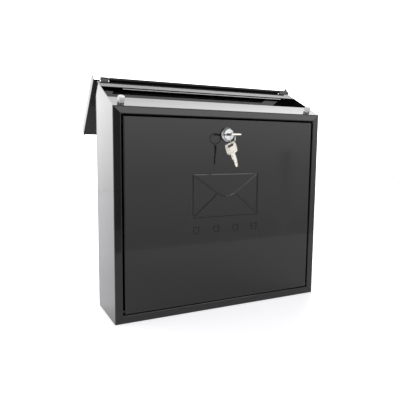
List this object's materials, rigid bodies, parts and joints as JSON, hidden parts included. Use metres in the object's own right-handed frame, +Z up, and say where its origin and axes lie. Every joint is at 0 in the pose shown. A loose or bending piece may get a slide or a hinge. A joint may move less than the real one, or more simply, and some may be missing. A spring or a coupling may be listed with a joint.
{
  "type": "wall mounted mailbox",
  "caption": "Black steel letter box with sloped top, lift-up lid over a mail slot, drop-down front door with cam lock, and keys on a split ring.",
  "frame": {"origin": "centre of the four wall-screw holes, on the back face of the box", "axes": "+Y points back into the wall, +Z up, +X to the right as seen from the front; the door faces -Y"},
  "size_m": [0.379, 0.2265, 0.3797],
  "materials": {
    "black_paint": "gloss black powder coat",
    "pin_steel": "plain steel pin",
    "clear_bumper": "clear soft plastic",
    "lock_chrome": "polished chrome plate",
    "zinc_hardware": "bright zinc plate",
    "key_nickel": "nickel plate, lightly scratched",
    "ring_steel": "nickel-plated spring wire"
  },
  "bodies": {
    "box": {"left_side_panel": "black_paint", "right_side_panel": "black_paint", "bottom_panel": "black_paint", "back_panel": "black_paint", "top_front_rail": "black_paint", "top_rear_rail": "black_paint", "slot_guard": "black_paint", "lid_hinge_bracket_left": "black_paint", "lid_hinge_bracket_right": "black_paint", "lid_hinge_pin_left": "pin_steel", "lid_hinge_pin_right": "pin_steel", "bumper_left": "clear_bumper", "bumper_right": "clear_bumper", "door_hinge_pin_left": "pin_steel", "door_hinge_pin_right": "pin_steel"},
    "lid": {"lid_panel": "black_paint"},
    "door": {"door_panel": "black_paint", "lock_housing": "lock_chrome", "lock_washer": "zinc_hardware", "lock_nut": "zinc_hardware"},
    "plug": {"lock_plug": "lock_chrome", "lock_cam": "zinc_hardware", "cam_washer": "zinc_hardware", "cam_screw": "zinc_hardware"},
    "key": {"key": "key_nickel"},
    "ring": {"key_ring": "ring_steel"},
    "spare": {"spare_key": "key_nickel"}
  },
  "joints": [
    {"name": "lid_hinge", "type": "hinge", "parent": "box", "child": "lid", "pos_m": [0, -0.0035, 0.211], "axis": [1, 0, 0], "range_deg": [0, 248.2]},
    {"name": "door_hinge", "type": "hinge", "parent": "box", "child": "door", "pos_m": [0, -0.094, -0.1421], "axis": [1, 0, 0], "range_deg": [0, 105]},
    {"name": "plug_turn", "type": "hinge", "parent": "door", "child": "plug", "pos_m": [0, -0.098, 0.125], "axis": [0, 1, 0], "range_deg": [0, 90]},
    {"name": "key_withdraw", "type": "slide", "parent": "plug", "child": "key", "axis": [0, -1, 0], "range_m": [0, 0.022]},
    {"name": "ring_swing", "type": "hinge", "parent": "key", "child": "ring", "pos_m": [-0.006, -0.12675, 0.125], "axis": [0.8387, 0.5446, 0], "range_deg": [-14, 14]},
    {"name": "spare_key_swing", "type": "hinge", "parent": "ring", "child": "spare", "pos_m": [-0.006, -0.12675, 0.1103], "axis": [0.8387, 0.5446, 0], "range_deg": [-25, 25]}
  ]
}
